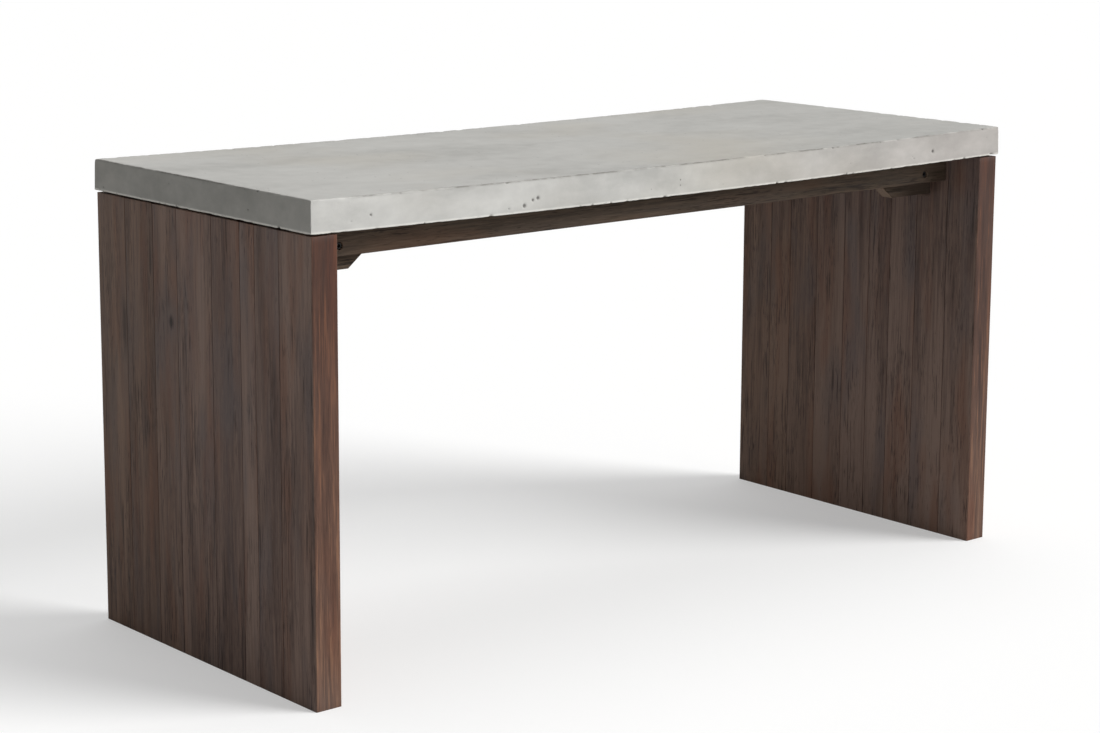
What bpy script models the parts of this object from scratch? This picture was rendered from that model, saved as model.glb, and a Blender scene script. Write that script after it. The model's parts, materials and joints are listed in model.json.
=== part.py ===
"""Table-height garden bench: a cast concrete top on two slab legs, over a bolted timber sub-frame.

The legs are glued up from staves. The origin is on the floor at the middle of the footprint.
+X runs along the length, -Y is the front and +Z is up.
"""

import math

import bmesh
import bpy
from mathutils import Matrix, Vector

# Concrete top. It is widest at its underside, and its ends curl up above its middle.
BENCH_HEIGHT = 0.762
TOP_LENGTH = 1.506
TOP_DEPTH = 0.600
TOP_THICKNESS = 0.050
TOP_DRAFT = 0.0014
TOP_ARRIS = 0.004
TOP_CURL = 0.006
TOP_SEGMENTS = 21

# Slab legs. The widths of their staves are in proportion, from the front to the back.
TOP_OVERHANG = 0.003
LEG_THICKNESS = 0.046
LEG_ARRIS = 0.002
STAVE_PROPORTIONS = {
    "left": (84, 63, 39, 77, 97, 68, 82, 84),
    "right": (71, 73, 63, 53, 62, 71, 71, 52, 78),
}
PAD_DIAMETER = 0.024
PAD_THICKNESS = 0.0024
PAD_FROM_EDGE = 0.060

# Sub-frame: two long aprons, an end rail on each leg, a centre rail and four corner blocks.
APRON_THICKNESS = 0.038
APRON_HEIGHT = 0.046
APRON_SETBACK = 0.0765
END_RAIL_THICKNESS = 0.030
CENTRE_RAIL_THICKNESS = 0.038
BLOCK_THICKNESS = 0.024
BLOCK_DROP = 0.0275
BLOCK_REACH = 0.1011
BLOCK_CHAMFER_LENGTH = 0.045
BLOCK_CHAMFER_HEIGHT = 0.036
TENON_LENGTH = 0.025
TIMBER_ARRIS = 0.0012

# Fasteners. A bolt's engagement is how far it goes into its insert.
BOLT_DIAMETER = 0.006
BOLT_HEAD_DIAMETER = 0.010
BOLT_HEAD_HEIGHT = 0.006
BOLT_ENGAGEMENT = 0.015
SOCKET_ACROSS_FLATS = 0.005
SOCKET_DEPTH = 0.0035
COUNTERBORE_DIAMETER = 0.0125
COUNTERBORE_DEPTH = 0.008
INSERT_DIAMETER = 0.010
INSERT_LENGTH = 0.018
INSERT_RECESS = 0.001
APRON_BOLT_FROM_LEG = 0.058
APRON_BOLT_RISE = 0.016
SCREW_DIAMETER = 0.0045
SCREW_HEAD_DIAMETER = 0.009
SCREW_HEAD_SINK = 0.001
SCREW_BITE = 0.026
SCREW_FROM_RAIL_END = 0.048
DOWEL_DIAMETER = 0.008
DOWEL_LENGTH = 0.040
DOWEL_IN_APRON = 0.016
DOWEL_SPACING = 0.022

# Clearances: between faces that touch, and round a pin in its hole. A cutter runs past the wall it opens.
FACE_GAP = 0.0003
PIN_GAP = 0.0004
CUT_PAST = 0.010
ROUND_SIDES = 24

SIDES = {"left": -1, "right": 1}
FACES = {"front": -1, "rear": 1}

# Places worked out from the sizes above, each given for the positive side.
leg_depth = TOP_DEPTH - 2 * TOP_OVERHANG
leg_outer_x = TOP_LENGTH / 2 - TOP_OVERHANG
leg_inner_x = leg_outer_x - LEG_THICKNESS
underside_z = BENCH_HEIGHT - TOP_THICKNESS - TOP_CURL
apron_top_z = underside_z - FACE_GAP
apron_bottom_z = apron_top_z - APRON_HEIGHT
apron_outer_y = leg_depth / 2 - APRON_SETBACK
apron_inner_y = apron_outer_y - APRON_THICKNESS
block_outer_y = apron_inner_y - FACE_GAP
block_inner_y = block_outer_y - BLOCK_THICKNESS
block_bottom_z = apron_bottom_z - BLOCK_DROP
rail_outer_x = leg_inner_x - FACE_GAP
rail_inner_x = rail_outer_x - END_RAIL_THICKNESS
rail_end_y = block_inner_y - FACE_GAP
outer_screw_y = rail_end_y - SCREW_FROM_RAIL_END
top_bolt_x = (rail_outer_x + rail_inner_x) / 2
top_bolt_y = outer_screw_y / 2
bolt_radius = BOLT_DIAMETER / 2
insert_radius = INSERT_DIAMETER / 2
screw_z = (apron_top_z + apron_bottom_z) / 2
dowel_zs = {"lower": screw_z - DOWEL_SPACING / 2, "upper": screw_z + DOWEL_SPACING / 2}


def curl_rise(x):
    """How far the top has curled up at a distance along it, as the square of that distance."""
    return TOP_CURL * (2 * x / TOP_LENGTH) ** 2


leg_top_z = underside_z + curl_rise(leg_inner_x) - PAD_THICKNESS - 2 * FACE_GAP
insert_underside_z = underside_z + curl_rise(top_bolt_x)


def clear_scene():
    for thing in list(bpy.data.objects):
        bpy.data.objects.remove(thing, do_unlink=True)


def make_material(name, colour, roughness, metallic=0.0):
    material = bpy.data.materials.new(name)
    material.use_nodes = True
    shader = material.node_tree.nodes["Principled BSDF"]
    shader.inputs["Base Color"].default_value = (*colour, 1.0)
    shader.inputs["Roughness"].default_value = roughness
    shader.inputs["Metallic"].default_value = metallic
    return material


def add_object(name, mesh, material, place):
    thing = bpy.data.objects.new(name, mesh)
    bpy.context.scene.collection.objects.link(thing)
    thing.parent = bpy.data.objects["bench"]
    thing.matrix_world = place
    if material:
        mesh.materials.clear()
        mesh.materials.append(material)
    return thing


def mesh_from(bm, name, smooth=False):
    bmesh.ops.recalc_face_normals(bm, faces=bm.faces)
    mesh = bpy.data.meshes.new(name)
    bm.to_mesh(mesh)
    bm.free()
    if smooth:
        mesh.shade_smooth()
        mesh.set_sharp_from_angle(angle=math.radians(35))
    return mesh


def add_piece(name, bm, material=None):
    """An object whose origin is the middle of its box, from a bmesh drawn in place."""
    ends = [[pick(vert.co[i] for vert in bm.verts) for i in range(3)] for pick in (min, max)]
    middle = (Vector(ends[0]) + Vector(ends[1])) / 2
    bmesh.ops.translate(bm, verts=bm.verts, vec=-middle)
    return add_object(name, mesh_from(bm, name), material, Matrix.Translation(middle))


def box_between(low, high, arris=0.0):
    """A box between two corners, with an eased arris on every edge when one is given."""
    bm = bmesh.new()
    bmesh.ops.create_cube(bm, size=1.0)
    for vert in bm.verts:
        vert.co = Vector(low[i] if vert.co[i] < 0 else high[i] for i in range(3))
    if arris:
        bmesh.ops.bevel(bm, geom=bm.edges[:], offset=arris, segments=1, affect="EDGES")
    return bm


def span(side, near, far):
    """The two ends of a stretch that lies on one side of the middle, lowest first."""
    return sorted((side * near, side * far))


def ring_of(bm, radius, height, place, flats):
    """A ring of vertices: a circle, a hexagon of that inner radius, or one vertex on the axis."""
    if radius == 0:
        return [bm.verts.new(place @ Vector((0, 0, height)))]
    ring = []
    for i in range(ROUND_SIDES):
        angle = 2 * math.pi * i / ROUND_SIDES
        from_corner = (angle + math.pi / 6) % (math.pi / 3) - math.pi / 6
        reach = radius / math.cos(math.pi / 6 - abs(from_corner)) if flats else radius
        point = Vector((reach * math.cos(angle), reach * math.sin(angle), height))
        ring.append(bm.verts.new(place @ point))
    return ring


def add_turned(bm, profile, place=None, closed=False):
    """Add a turned solid from (radius, height) points, and a third value where the ring is a hexagon."""
    place = place or Matrix()
    rings = [ring_of(bm, point[0], point[1], place, len(point) > 2) for point in profile]
    for lower, upper in zip(rings, rings[1:] + (rings[:1] if closed else [])):
        for i in range(ROUND_SIDES):
            j = (i + 1) % ROUND_SIDES
            below = [lower[k % len(lower)] for k in (i, j)]
            above = [upper[k % len(upper)] for k in (j, i)]
            bm.faces.new(list(dict.fromkeys(below + above)))


def turned_mesh(name, profile, closed=False):
    bm = bmesh.new()
    add_turned(bm, profile, closed=closed)
    return mesh_from(bm, name, smooth=True)


def rod(radius, start, end):
    return [(0, start), (radius, start), (radius, end), (0, end)]


def aimed(point, direction):
    """The placement that turns a solid's own +Z to a direction and moves its origin to a point."""
    turn = Vector((0, 0, 1)).rotation_difference(Vector(direction)).to_matrix().to_4x4()
    return Matrix.Translation(Vector(point)) @ turn


def cut(thing, cutter):
    boolean = thing.modifiers.new("cut_" + cutter.name, "BOOLEAN")
    boolean.operation = "DIFFERENCE"
    boolean.solver = "EXACT"
    boolean.object = cutter


def add_cutter(name, bm):
    cutter = add_piece(name, bm)
    cutter.hide_render = True
    cutter.display_type = "WIRE"
    return cutter


def drilled(pieces, name, holes):
    """Cut a list of turned holes, each a profile and its placement, out of the pieces."""
    bm = bmesh.new()
    for profile, place in holes:
        add_turned(bm, profile, place)
    cutter = add_cutter(name, bm)
    for piece in pieces:
        cut(piece, cutter)


# Profiles along a fastener's own +Z, which points into the wood. A bolt's origin is under its head.


def bolt_profile(length):
    head = BOLT_HEAD_DIAMETER / 2
    flats = SOCKET_ACROSS_FLATS / 2
    floor = SOCKET_DEPTH - BOLT_HEAD_HEIGHT
    return [
        (0, floor), (flats, floor, "hexagon"), (flats, -BOLT_HEAD_HEIGHT, "hexagon"),
        (head, -BOLT_HEAD_HEIGHT), (head, 0), (bolt_radius, 0), (bolt_radius, length), (0, length),
    ]


def bolt_hole_profile(length):
    """A counterbore that holds the head, then a clearance hole down to a length past the head's seat."""
    wide = COUNTERBORE_DIAMETER / 2
    narrow = bolt_radius + PIN_GAP
    past = -COUNTERBORE_DEPTH - CUT_PAST
    return [(0, past), (wide, past), (wide, FACE_GAP), (narrow, FACE_GAP), (narrow, length), (0, length)]


def insert_profile():
    inner = bolt_radius + PIN_GAP
    return [(inner, 0), (insert_radius, 0), (insert_radius, INSERT_LENGTH), (inner, INSERT_LENGTH)]


def insert_hole_profile():
    return rod(insert_radius + PIN_GAP, -CUT_PAST, INSERT_LENGTH + PIN_GAP)


def screw_profile():
    head, shank = SCREW_HEAD_DIAMETER / 2, SCREW_DIAMETER / 2
    neck = SCREW_HEAD_SINK + head - shank
    tip = END_RAIL_THICKNESS + SCREW_BITE
    return [
        (0, SCREW_HEAD_SINK), (head, SCREW_HEAD_SINK), (shank, neck), (shank, tip - 2 * shank), (0, tip),
    ]


def screw_hole_profile():
    head, shank = SCREW_HEAD_DIAMETER / 2 + PIN_GAP, SCREW_DIAMETER / 2 + PIN_GAP
    end = END_RAIL_THICKNESS + SCREW_BITE + PIN_GAP
    return [
        (0, -CUT_PAST), (head, -CUT_PAST), (head, SCREW_HEAD_SINK),
        (shank, SCREW_HEAD_SINK + head - shank), (shank, end), (0, end),
    ]


# Where the fasteners go: the name and placement of each.


def apron_bolt_places():
    x = leg_inner_x - APRON_BOLT_FROM_LEG
    y = apron_outer_y - COUNTERBORE_DEPTH
    z = apron_bottom_z + APRON_BOLT_RISE
    for face, toward_y in FACES.items():
        for side, toward_x in SIDES.items():
            yield face, side, aimed((toward_x * x, toward_y * y, z), (0, -toward_y, 0))


def top_bolt_places():
    for side, toward_x in SIDES.items():
        for face, toward_y in FACES.items():
            point = (toward_x * top_bolt_x, toward_y * top_bolt_y, apron_bottom_z + COUNTERBORE_DEPTH)
            yield side, face, Matrix.Translation(point)


def rail_screw_places(side):
    toward_x = SIDES[side]
    for number, step in enumerate((-1, 0, 1), start=1):
        yield number, aimed((toward_x * rail_inner_x, step * outer_screw_y, screw_z), (toward_x, 0, 0))


def dowel_places():
    for face, toward_y in FACES.items():
        for level, z in dowel_zs.items():
            y = apron_inner_y + DOWEL_IN_APRON - FACE_GAP
            yield face, level, aimed((0, toward_y * y, z), (0, -toward_y, 0))


def insert_place(bolt_place, grip):
    """An insert's placement: just inside the piece that starts a grip's length past the bolt's seat."""
    return bolt_place @ Matrix.Translation((0, 0, grip + INSERT_RECESS))


apron_bolt_grip = APRON_THICKNESS - COUNTERBORE_DEPTH + FACE_GAP
top_bolt_grip = insert_underside_z - apron_bottom_z - COUNTERBORE_DEPTH


# The pieces.


def make_top(material):
    """The cast slab: a box cut across into segments, its arrises eased, then drafted and curled."""
    half = Vector((TOP_LENGTH / 2, TOP_DEPTH / 2, TOP_THICKNESS / 2))
    bm = box_between(-half, half)
    for i in range(1, TOP_SEGMENTS):
        across = (TOP_LENGTH * (i / TOP_SEGMENTS - 0.5), 0, 0)
        geometry = bm.verts[:] + bm.edges[:] + bm.faces[:]
        bmesh.ops.bisect_plane(bm, geom=geometry, plane_co=across, plane_no=(1, 0, 0))
    rim = [edge for edge in bm.edges if on_rim(edge, half)]
    bmesh.ops.bevel(bm, geom=rim, offset=TOP_ARRIS, segments=2, profile=0.5, affect="EDGES")
    for vert in bm.verts:
        up = vert.co.z / TOP_THICKNESS + 0.5
        vert.co.x *= 1 - up * TOP_DRAFT / half.x
        vert.co.y *= 1 - up * TOP_DRAFT / half.y
        vert.co.z += underside_z + half.z + curl_rise(vert.co.x)
    top = add_piece("concrete_top", bm, material)
    holes = [(insert_hole_profile(), insert_place(place, top_bolt_grip)) for *_, place in top_bolt_places()]
    drilled([top], "top_insert_holes", holes)


def on_rim(edge, half):
    """Whether an edge of the box lies on its upper outline or stands at one of its corners."""
    middle = (edge.verts[0].co + edge.verts[1].co) / 2
    at_end, at_face, upper = (abs(abs(middle[i]) - half[i]) < FACE_GAP for i in range(3))
    upper = upper and middle.z > 0
    return (upper and (at_end or at_face)) or (at_end and at_face)


def make_leg(side, material):
    """One leg: a panel with eased arrises, sliced into staves, mortised for its blocks and drilled."""
    toward_x = SIDES[side]
    inner_to_outer = span(toward_x, leg_inner_x, leg_outer_x)
    proportions = STAVE_PROPORTIONS[side]
    staves = []
    front = -leg_depth / 2
    for number, proportion in enumerate(proportions, start=1):
        back = front + leg_depth * proportion / sum(proportions)
        low = (inner_to_outer[0], -leg_depth / 2, 0)
        high = (inner_to_outer[1], leg_depth / 2, leg_top_z)
        bm = box_between(low, high, LEG_ARRIS)
        if number > 1:
            slice_off(bm, front + FACE_GAP / 2, -1)
        if number < len(proportions):
            slice_off(bm, back - FACE_GAP / 2, 1)
        staves.append(add_piece(f"{side}_leg_stave_{number}", bm, material))
        front = back
    for face, toward_y in FACES.items():
        cutter = add_cutter(f"{side}_{face}_mortise", mortise_between(toward_x, toward_y))
        for stave in staves:
            cut(stave, cutter)
    screws = [(screw_hole_profile(), place) for _, place in rail_screw_places(side)]
    drilled(staves, f"{side}_pilot_holes", screws)


def slice_off(bm, y, direction):
    """Cut a panel across its depth, drop what lies in one direction, and close the cut."""
    geometry = bm.verts[:] + bm.edges[:] + bm.faces[:]
    found = bmesh.ops.bisect_plane(
        bm, geom=geometry, plane_co=(0, y, 0), plane_no=(0, direction, 0), clear_outer=True
    )
    edges = [item for item in found["geom_cut"] if isinstance(item, bmesh.types.BMEdge)]
    bmesh.ops.contextual_create(bm, geom=edges)


def mortise_between(toward_x, toward_y):
    """The slot in a leg that takes a block's tenon, open at the leg's top."""
    xs = span(toward_x, leg_inner_x - CUT_PAST, leg_inner_x + TENON_LENGTH + FACE_GAP)
    ys = span(toward_y, block_inner_y - FACE_GAP, block_outer_y + FACE_GAP)
    zs = (block_bottom_z - FACE_GAP, leg_top_z + CUT_PAST)
    return box_between((xs[0], ys[0], zs[0]), (xs[1], ys[1], zs[1]))


def make_blocks(material):
    """The corner blocks: plates on edge, chamfered under the free end and tenoned into the leg."""
    free_x = leg_inner_x - BLOCK_REACH
    outline = [
        (leg_inner_x + TENON_LENGTH, block_bottom_z),
        (free_x, block_bottom_z),
        (free_x - BLOCK_CHAMFER_LENGTH, block_bottom_z + BLOCK_CHAMFER_HEIGHT),
        (free_x - BLOCK_CHAMFER_LENGTH, apron_top_z),
        (leg_inner_x + TENON_LENGTH, apron_top_z),
    ]
    count = len(outline)
    for face, side, place in apron_bolt_places():
        bm = bmesh.new()
        for y in (block_inner_y, block_outer_y):
            loop = [bm.verts.new((SIDES[side] * x, FACES[face] * y, z)) for x, z in outline]
            bm.faces.new(loop)
        bm.verts.ensure_lookup_table()
        for i in range(count):
            j = (i + 1) % count
            bm.faces.new([bm.verts[k] for k in (i, j, j + count, i + count)])
        block = add_piece(f"corner_block_{face}_{side}", bm, material)
        hole = (insert_hole_profile(), insert_place(place, apron_bolt_grip))
        drilled([block], f"block_hole_{face}_{side}", [hole])


def make_aprons(material):
    for face, toward_y in FACES.items():
        ys = span(toward_y, apron_inner_y, apron_outer_y)
        low, high = (-rail_outer_x, ys[0], apron_bottom_z), (rail_outer_x, ys[1], apron_top_z)
        apron = add_piece(f"{face}_apron", box_between(low, high, TIMBER_ARRIS), material)
        bolts = [place for which, _, place in apron_bolt_places() if which == face]
        holes = [(bolt_hole_profile(APRON_THICKNESS + CUT_PAST), place) for place in bolts]
        holes += [(dowel_hole_profile(), place) for which, _, place in dowel_places() if which == face]
        drilled([apron], f"{face}_apron_holes", holes)


def make_end_rails(material):
    for side, toward_x in SIDES.items():
        xs = span(toward_x, rail_inner_x, rail_outer_x)
        low, high = (xs[0], -rail_end_y, apron_bottom_z), (xs[1], rail_end_y, leg_top_z)
        rail = add_piece(f"{side}_end_rail", box_between(low, high, TIMBER_ARRIS), material)
        past = leg_top_z - apron_bottom_z + CUT_PAST
        bolts = [place for which, _, place in top_bolt_places() if which == side]
        drilled([rail], f"{side}_rail_bolt_holes", [(bolt_hole_profile(past), place) for place in bolts])
        screws = [(screw_hole_profile(), place) for _, place in rail_screw_places(side)]
        drilled([rail], f"{side}_rail_screw_holes", screws)


def make_centre_rail(material):
    half = CENTRE_RAIL_THICKNESS / 2
    end_y = apron_inner_y - FACE_GAP
    low, high = (-half, -end_y, apron_bottom_z), (half, end_y, apron_top_z)
    rail = add_piece("centre_rail", box_between(low, high, TIMBER_ARRIS), material)
    drilled([rail], "centre_rail_holes", [(dowel_hole_profile(), place) for *_, place in dowel_places()])


def dowel_hole_profile():
    return rod(DOWEL_DIAMETER / 2 + PIN_GAP, -PIN_GAP, DOWEL_LENGTH + PIN_GAP)


def make_dowels(material):
    mesh = turned_mesh("dowel", rod(DOWEL_DIAMETER / 2, 0, DOWEL_LENGTH))
    for face, level, place in dowel_places():
        add_object(f"dowel_{face}_{level}", mesh, material, place)


def make_bolts_and_inserts(bolt_material, insert_material):
    insert = turned_mesh("insert", insert_profile(), closed=True)
    apron_bolt = turned_mesh("apron_bolt", bolt_profile(apron_bolt_grip + BOLT_ENGAGEMENT))
    for face, side, place in apron_bolt_places():
        add_object(f"apron_bolt_{face}_{side}", apron_bolt, bolt_material, place)
        deeper = insert_place(place, apron_bolt_grip)
        add_object(f"block_insert_{face}_{side}", insert, insert_material, deeper)
    top_bolt = turned_mesh("top_bolt", bolt_profile(top_bolt_grip + BOLT_ENGAGEMENT))
    for side, face, place in top_bolt_places():
        add_object(f"top_bolt_{side}_{face}", top_bolt, bolt_material, place)
        deeper = insert_place(place, top_bolt_grip)
        add_object(f"top_insert_{side}_{face}", insert, insert_material, deeper)


def make_rail_screws(material):
    mesh = turned_mesh("rail_screw", screw_profile())
    for side in SIDES:
        for number, place in rail_screw_places(side):
            add_object(f"rail_screw_{side}_{number}", mesh, material, place)


def make_pads(material):
    mesh = turned_mesh("leg_pad", rod(PAD_DIAMETER / 2, 0, PAD_THICKNESS))
    for side, toward_x in SIDES.items():
        for face, toward_y in FACES.items():
            x = toward_x * (leg_inner_x + leg_outer_x) / 2
            y = toward_y * (leg_depth / 2 - PAD_FROM_EDGE)
            place = Matrix.Translation((x, y, leg_top_z + FACE_GAP))
            add_object(f"leg_pad_{side}_{face}", mesh, material, place)


def main():
    clear_scene()
    bench = bpy.data.objects.new("bench", None)
    bpy.context.scene.collection.objects.link(bench)
    concrete = make_material("cast_concrete", (0.47, 0.46, 0.43), 0.85)
    leg_wood = make_material("stained_stave_wood", (0.075, 0.045, 0.034), 0.6)
    frame_wood = make_material("stained_frame_wood", (0.05, 0.033, 0.026), 0.65)
    dowel_wood = make_material("dowel_wood", (0.55, 0.40, 0.24), 0.7)
    black_steel = make_material("black_steel", (0.03, 0.03, 0.032), 0.45, 1.0)
    zinc_steel = make_material("zinc_steel", (0.62, 0.62, 0.6), 0.35, 1.0)
    rubber = make_material("pad_rubber", (0.04, 0.04, 0.04), 0.8)
    make_top(concrete)
    for side in SIDES:
        make_leg(side, leg_wood)
    make_aprons(frame_wood)
    make_end_rails(frame_wood)
    make_centre_rail(frame_wood)
    make_blocks(frame_wood)
    make_dowels(dowel_wood)
    make_bolts_and_inserts(black_steel, zinc_steel)
    make_rail_screws(zinc_steel)
    make_pads(rubber)


main()
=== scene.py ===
import json
import math

import bmesh
import bpy
import numpy as np
from mathutils import Matrix, Vector

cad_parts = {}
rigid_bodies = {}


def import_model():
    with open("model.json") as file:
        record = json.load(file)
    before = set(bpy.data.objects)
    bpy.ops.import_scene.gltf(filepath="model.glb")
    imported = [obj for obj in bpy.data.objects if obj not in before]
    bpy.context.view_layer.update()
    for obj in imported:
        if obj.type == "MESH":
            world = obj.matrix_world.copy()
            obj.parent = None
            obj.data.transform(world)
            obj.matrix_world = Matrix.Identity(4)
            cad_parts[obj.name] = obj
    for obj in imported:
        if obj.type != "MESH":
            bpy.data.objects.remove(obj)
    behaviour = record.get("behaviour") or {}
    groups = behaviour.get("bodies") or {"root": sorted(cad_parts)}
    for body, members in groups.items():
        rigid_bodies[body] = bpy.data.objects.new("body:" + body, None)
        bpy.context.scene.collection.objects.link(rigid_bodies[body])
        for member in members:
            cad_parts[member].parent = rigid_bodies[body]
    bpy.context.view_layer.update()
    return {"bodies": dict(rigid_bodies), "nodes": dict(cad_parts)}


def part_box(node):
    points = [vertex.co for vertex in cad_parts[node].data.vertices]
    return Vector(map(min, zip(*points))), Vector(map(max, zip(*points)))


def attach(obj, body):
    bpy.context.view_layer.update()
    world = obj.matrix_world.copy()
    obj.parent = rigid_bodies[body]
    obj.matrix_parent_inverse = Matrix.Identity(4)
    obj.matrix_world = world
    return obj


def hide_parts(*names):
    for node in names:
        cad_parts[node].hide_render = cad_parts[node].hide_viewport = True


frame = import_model()
body = next(iter(frame["bodies"]))      # nothing on the bench moves, so there is one body
sides = {"left": -1, "right": 1}
print("frame loaded:", len(frame["nodes"]), "nodes")


# helpers for materials

def newMaterial(name):
    material = bpy.data.materials.new(name)
    material.use_nodes = True
    return material, material.node_tree, material.node_tree.nodes["Principled BSDF"]


# adds one node; an input that is given a socket is linked to it
def addNode(tree, kind, inputs=None, **settings):
    made = tree.nodes.new("ShaderNode" + kind)
    for key, value in settings.items():
        setattr(made, key, value)
    for key, value in (inputs or {}).items():
        if isinstance(value, bpy.types.NodeSocket):
            tree.links.new(value, made.inputs[key])
        else:
            made.inputs[key].default_value = value
    return made


def maths(tree, operation, first, second=0.0):
    return addNode(tree, "Math", {0: first, 1: second}, operation=operation).outputs[0]


def times(tree, first, *others):
    for other in others:
        first = maths(tree, "MULTIPLY", first, other)
    return first


# named values times their shares, added up
def weighted(tree, values, shares):
    total, *others = (times(tree, values[name], share) for name, share in shares.items())
    for part in others:
        total = maths(tree, "ADD", total, part)
    return total


def vectorMaths(tree, operation, first, second):
    return addNode(tree, "VectorMath", {0: first, 1: second}, operation=operation).outputs[0]


def brightened(tree, colour, factor):
    return addNode(tree, "VectorMath", {0: colour, 3: factor}, operation="SCALE").outputs[0]


def mixColour(tree, factor, first, second, blend="MIX"):
    made = addNode(tree, "Mix", {0: factor, 6: first, 7: second}, data_type="RGBA", blend_type=blend)
    return made.outputs[2]


def remap(tree, value, fromLow, fromHigh, toLow=0.0, toHigh=1.0):
    made = addNode(tree, "MapRange", {"Value": value, "From Min": fromLow, "From Max": fromHigh,
                                      "To Min": toLow, "To Max": toHigh})
    return made.outputs[0]


def stretched(tree, vector, scale, offset=(0, 0, 0)):
    return addNode(tree, "Mapping", {"Vector": vector, "Scale": scale, "Location": offset}).outputs[0]


# a noise whose space is stretched and shifted first
def pattern(tree, place, spread, scale, detail, rough, shift=(0, 0, 0), warp=0.0):
    made = addNode(tree, "TexNoise", {"Vector": stretched(tree, place, spread, shift), "Scale": scale,
                                      "Detail": detail, "Roughness": rough, "Distortion": warp})
    return made.outputs[0]


def attribute(tree, name):
    return addNode(tree, "Attribute", attribute_name=name).outputs["Fac"]


def objectPlace(tree):
    return addNode(tree, "TexCoord").outputs["Object"]


# the colour of the factor between stops, each a place and the name of a tint in the facts
def ramp(tree, factor, facts):
    stops = facts["stops"]
    made = addNode(tree, "ValToRGB", {"Fac": factor})
    elements = made.color_ramp.elements
    while len(elements) < len(stops):
        elements.new(0.5)
    for element, (place, name) in zip(elements, stops):
        element.position, element.color = place, facts[name]
    return made.outputs[0]


# a colour as 0 to 255 on a screen becomes the linear colour that shaders use
def tint(red, green, blue):
    shares = np.array([red, green, blue]) / 255
    linear = np.where(shares <= 0.04045, shares / 12.92, ((shares + 0.055) / 1.055) ** 2.4)
    return (*(float(c) for c in linear), 1.0)


# gives a shader its colour, roughness and relief
def dress(tree, shader, colour, gloss, height, facts):
    tree.links.new(colour, shader.inputs["Base Color"])
    tree.links.new(gloss, shader.inputs["Roughness"])
    depths = {"Height": height, "Strength": facts["bump"], "Distance": facts["bumpDepth"]}
    tree.links.new(addNode(tree, "Bump", depths).outputs[0], shader.inputs["Normal"])


# camera, floor and light

viewPoint = {
    "place": (-2.809, -3.240, 1.276),   # metres
    "azimuth": 40.41,                   # degrees from +Y towards +X
    "elevation": 9.92,                  # degrees looking down
    "roll": -0.28,
    "sensor": 36,                       # millimetres
    "lens": 83.26,
    "shiftDown": 0.08,                  # the frame hangs this share of its width below the lens axis
}


def placeCamera(facts):
    turn, dip, roll = (math.radians(facts[k]) for k in ("azimuth", "elevation", "roll"))
    forward = Vector((math.sin(turn) * math.cos(dip), math.cos(turn) * math.cos(dip), -math.sin(dip)))
    right = forward.cross(Vector((0, 0, 1))).normalized()
    up = right.cross(forward)
    across = right * math.cos(roll) - up * math.sin(roll)
    upward = right * math.sin(roll) + up * math.cos(roll)
    data = bpy.data.cameras.new("benchCamera")
    data.sensor_width, data.lens = facts["sensor"], facts["lens"]
    data.shift_y = -facts["shiftDown"]
    camera = bpy.data.objects.new("benchCamera", data)
    turned = Matrix((across, upward, -forward)).transposed().to_4x4()
    camera.matrix_world = Matrix.Translation(facts["place"]) @ turned
    bpy.context.scene.collection.objects.link(camera)
    bpy.context.scene.camera = camera


studio = {
    "floorReach": 60.0,                 # metres from the middle to the floor's edge
    "floorSeen": (0.64, 0.64, 0.637),
    "floorGlow": 0.36,                  # light it gives to the eye alone, which keeps its shadows pale
    "floorBounce": (0.47, 0.47, 0.47),  # what it gives back to the bench
    "floorRoughness": 0.9,
    "floorSpecular": 0.1,
    "suns": {                           # name: direction to the light, strength, softness in degrees
        "keySun": ((0.60, -0.66, 0.46), 3.7, 36),
        "topSun": ((0.20, 0.10, 1.0), 0.8, 50),
    },
    "sky": (1.0, 1.0, 1.0),
    "skySeen": 1.05,                    # strength of the sky to the eye
    "skyMirror": 0.40,                  # in reflections
    "skyFill": 0.215,                   # and as soft light
}


def lightStudio(facts):
    scene = bpy.context.scene
    scene.view_settings.view_transform = "Standard"
    world = bpy.data.worlds.new("studioSky")
    scene.world = world
    world.use_nodes = True
    tree = world.node_tree
    rays = addNode(tree, "LightPath")
    soft = remap(tree, rays.outputs["Is Glossy Ray"], 0, 1, facts["skyFill"], facts["skyMirror"])
    strength = remap(tree, rays.outputs["Is Camera Ray"], 0, 1, soft, facts["skySeen"])
    background = tree.nodes["Background"].inputs
    background["Color"].default_value = (*facts["sky"], 1)
    tree.links.new(strength, background["Strength"])
    for name, (toward, power, softness) in facts["suns"].items():
        data = bpy.data.lights.new(name, "SUN")
        data.energy, data.angle = power, math.radians(softness)
        lamp = bpy.data.objects.new(name, data)
        lamp.rotation_euler = Vector(toward).to_track_quat("Z", "Y").to_euler()
        scene.collection.objects.link(lamp)


def layFloor(facts):
    reach = facts["floorReach"]
    mesh = bpy.data.meshes.new("floor")
    mesh.from_pydata([(-reach, -reach, 0), (reach, -reach, 0), (reach, reach, 0), (-reach, reach, 0)],
                     [], [(0, 1, 2, 3)])
    floor = bpy.data.objects.new("floor", mesh)
    bpy.context.scene.collection.objects.link(floor)
    paint, tree, shader = newMaterial("floorPaint")
    seen = addNode(tree, "LightPath").outputs["Is Camera Ray"]
    colour = mixColour(tree, seen, (*facts["floorBounce"], 1), (*facts["floorSeen"], 1))
    tree.links.new(colour, shader.inputs["Base Color"])
    shader.inputs["Emission Color"].default_value = (1, 1, 1, 1)
    tree.links.new(times(tree, seen, facts["floorGlow"]), shader.inputs["Emission Strength"])
    shader.inputs["Roughness"].default_value = facts["floorRoughness"]
    shader.inputs["Specular IOR Level"].default_value = facts["floorSpecular"]
    mesh.materials.append(paint)


placeCamera(viewPoint)
lightStudio(studio)
layFloor(studio)
print("camera, floor and light placed")


# helpers for surfaces

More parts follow.
